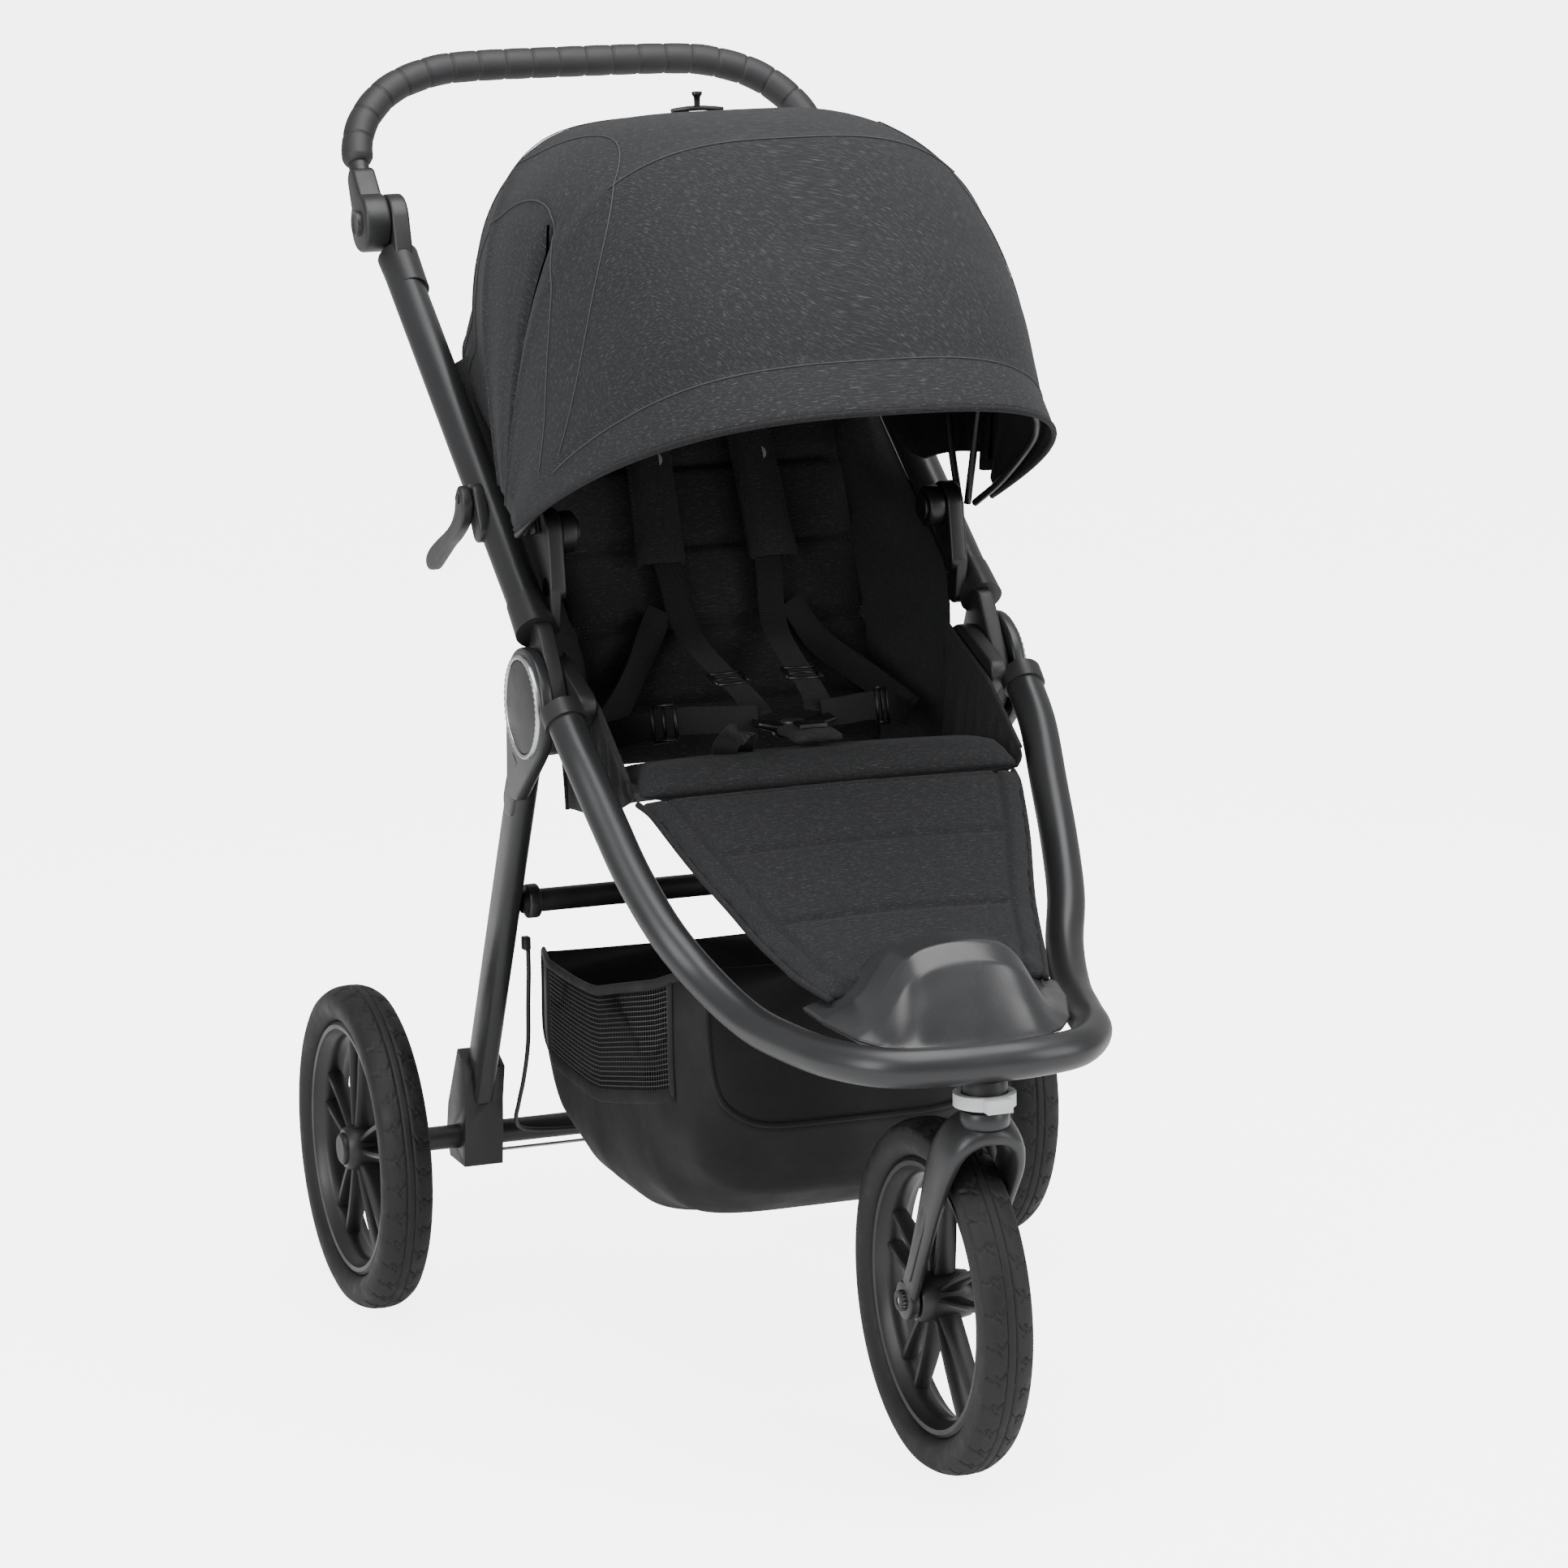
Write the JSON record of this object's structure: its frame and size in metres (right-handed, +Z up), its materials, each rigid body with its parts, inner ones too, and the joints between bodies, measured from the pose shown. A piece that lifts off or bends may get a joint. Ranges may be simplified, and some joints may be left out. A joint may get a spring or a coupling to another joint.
{
  "type": "jogging-style baby stroller",
  "caption": "Three-wheeled folding baby stroller with a swivelling front fork, padded reclining seat, harness, folding canopy, tilting handlebar, hand brake and under-seat basket.",
  "frame": {"origin": "On the floor, at the centre of the stroller's bounding box in X and Y, with the three tyres standing on z = 0.", "axes": "+Z is up. The child and the front wheel face -Y and the handlebar is towards +Y. +X is to the left of the person pushing."},
  "size_m": [0.662, 1.0632, 1.1342],
  "materials": {
    "frame_paint": "satin dark grey powder coat",
    "plastic": "fine-grained moulded nylon, near black",
    "gloss_shell": "smooth semi-gloss moulding",
    "grey_plastic": "light grey moulded plastic",
    "steel": "zinc-plated steel",
    "tyre": "foam-filled rubber tread with centre groove",
    "charcoal_cloth": "heathered charcoal polyester weave",
    "black_cloth": "black coated polyester with mesh side windows",
    "webbing": "ribbed black nylon webbing",
    "grip": "wrapped, segmented foam grip"
  },
  "bodies": {
    "chassis": {"front_frame": "frame_paint", "lower_joint_left": "plastic", "lower_joint_right": "plastic", "swivel_housing": "plastic", "footrest": "gloss_shell", "seat_side_left": "charcoal_cloth", "seat_side_right": "charcoal_cloth", "basket": "black_cloth"},
    "seat_base": {"seat_pad": "charcoal_cloth", "crotch_strap": "charcoal_cloth"},
    "calf_support": {"calf_pad": "charcoal_cloth"},
    "swivel_lock": {"swivel_lock_lever": "grey_plastic"},
    "fork_assembly": {"fork": "frame_paint", "front_axle": "steel"},
    "front_wheel": {"front_tyre": "tyre", "front_rim": "plastic"},
    "rear_legs": {"rear_leg_left": "frame_paint", "rear_leg_right": "frame_paint", "hub_cap_left": "plastic", "hub_cap_right": "plastic", "leg_foot_left": "plastic", "leg_foot_right": "plastic", "crossbar": "frame_paint", "rear_axle": "frame_paint", "brake_rod": "steel", "brake_cable": "plastic", "cable_clip": "plastic"},
    "rear_wheel_left": {"rear_tyre_left": "tyre", "rear_rim_left": "plastic"},
    "rear_wheel_right": {"rear_tyre_right": "tyre", "rear_rim_right": "plastic"},
    "upper_frame": {"upper_tube_left": "frame_paint", "upper_tube_right": "frame_paint", "upper_joint_left": "plastic", "upper_joint_right": "plastic", "handle_socket_left": "plastic", "handle_socket_right": "plastic", "canopy_mount_left": "plastic", "canopy_mount_right": "plastic", "canopy_back_panel": "charcoal_cloth", "seat_wing_left": "charcoal_cloth", "seat_wing_right": "charcoal_cloth", "harness_strap_left": "webbing", "harness_strap_right": "webbing", "harness_buckle": "plastic"},
    "backrest": {"backrest_pad": "charcoal_cloth", "shoulder_pad_left": "charcoal_cloth", "shoulder_pad_right": "charcoal_cloth"},
    "handle": {"handlebar": "frame_paint", "handle_grip": "grip"},
    "handle_press_pad_left": {"handle_button_left": "plastic"},
    "handle_press_pad_right": {"handle_button_right": "plastic"},
    "canopy_front": {"canopy_hoop_front": "plastic", "canopy_front_panel": "charcoal_cloth"},
    "canopy_mid": {"canopy_hoop_mid": "plastic", "canopy_top_panel": "charcoal_cloth"},
    "canopy_back": {"canopy_hoop_back": "plastic", "canopy_clip": "plastic"},
    "hand_brake": {"brake_lever": "plastic"},
    "buckle_release": {"buckle_button": "grey_plastic"}
  },
  "joints": [
    {"name": "fold", "type": "hinge", "parent": "chassis", "child": "upper_frame", "pos_m": [0, 0.0094, 0.6], "axis": [-1, 0, 0], "range_deg": [0, 140], "deforming": ["backrest_pad", "seat_pad", "crotch_strap", "seat_side_left", "seat_side_right", "seat_wing_left", "seat_wing_right", "shoulder_pad_left", "shoulder_pad_right", "harness_strap_left", "harness_strap_right", "canopy_back_panel", "canopy_top_panel", "canopy_front_panel", "basket"]},
    {"name": "rear_leg_fold", "type": "hinge", "parent": "chassis", "child": "rear_legs", "pos_m": [0, 0.0094, 0.6], "axis": [-1, 0, 0], "range_deg": [0, 50.4], "deforming": ["basket"]},
    {"name": "seat_lift", "type": "hinge", "parent": "chassis", "child": "seat_base", "pos_m": [0, -0.1446, 0.54], "axis": [1, 0, 0], "range_deg": [0, 90], "deforming": ["crotch_strap", "seat_pad", "harness_strap_left", "harness_strap_right"]},
    {"name": "calf_hinge", "type": "hinge", "parent": "chassis", "child": "calf_support", "pos_m": [0, -0.1446, 0.54], "axis": [-1, 0, 0], "range_deg": [0, 25]},
    {"name": "fork_swivel", "type": "hinge", "parent": "chassis", "child": "fork_assembly", "pos_m": [0, -0.4756, 0.339], "axis": [0, 0, 1], "continuous": true},
    {"name": "lock_lever", "type": "hinge", "parent": "chassis", "child": "swivel_lock", "pos_m": [0, -0.4756, 0.3425], "axis": [0, 0, 1], "range_deg": [0, 40]},
    {"name": "front_wheel_spin", "type": "hinge", "parent": "fork_assembly", "child": "front_wheel", "pos_m": [0, -0.3816, 0.15], "axis": [1, 0, 0], "continuous": true},
    {"name": "rear_wheel_spin_left", "type": "hinge", "parent": "rear_legs", "child": "rear_wheel_left", "pos_m": [0.308, 0.2674, 0.15], "axis": [1, 0, 0], "continuous": true},
    {"name": "rear_wheel_spin_right", "type": "hinge", "parent": "rear_legs", "child": "rear_wheel_right", "pos_m": [-0.308, 0.2674, 0.15], "axis": [1, 0, 0], "continuous": true},
    {"name": "handlebar_tilt", "type": "hinge", "parent": "upper_frame", "child": "handle", "pos_m": [0, 0.4274, 0.985], "axis": [1, 0, 0], "range_deg": [-75, 40]},
    {"name": "handle_press_left", "type": "slide", "parent": "handle", "child": "handle_press_pad_left", "axis": [-1, 0, 0], "range_m": [0, 0.004], "stiffness_N_per_m": 600},
    {"name": "handle_press_right", "type": "slide", "parent": "handle", "child": "handle_press_pad_right", "axis": [1, 0, 0], "range_m": [0, 0.004], "stiffness_N_per_m": 600},
    {"name": "backrest_recline", "type": "hinge", "parent": "upper_frame", "child": "backrest", "pos_m": [0, 0.0624, 0.505], "axis": [1, 0, 0], "range_deg": [-38, 0]},
    {"name": "canopy_fold", "type": "hinge", "parent": "upper_frame", "child": "canopy_front", "pos_m": [0, 0.0474, 0.745], "axis": [-1, 0, 0], "range_deg": [0, 104]},
    {"name": "canopy_mid_fold", "type": "hinge", "parent": "upper_frame", "child": "canopy_mid", "pos_m": [0, 0.0474, 0.745], "axis": [-1, 0, 0], "range_deg": [0, 62.4]},
    {"name": "canopy_back_fold", "type": "hinge", "parent": "upper_frame", "child": "canopy_back", "pos_m": [0, 0.0474, 0.745], "axis": [-1, 0, 0], "range_deg": [0, 31.2]},
    {"name": "brake_pull", "type": "hinge", "parent": "upper_frame", "child": "hand_brake", "pos_m": [-0.2355, 0.1394, 0.766], "axis": [1, 0, 0], "range_deg": [0, 55]},
    {"name": "buckle_press", "type": "slide", "parent": "upper_frame", "child": "buckle_release", "axis": [0, 0, -1], "range_m": [0, 0.002], "stiffness_N_per_m": 400}
  ],
  "couplings": [
    {"joint": "rear_leg_fold", "follows": "fold", "ratio": 0.36},
    {"joint": "seat_lift", "follows": "fold", "ratio": 0.64286},
    {"joint": "canopy_mid_fold", "follows": "canopy_fold", "ratio": 0.6},
    {"joint": "canopy_back_fold", "follows": "canopy_fold", "ratio": 0.3}
  ]
}
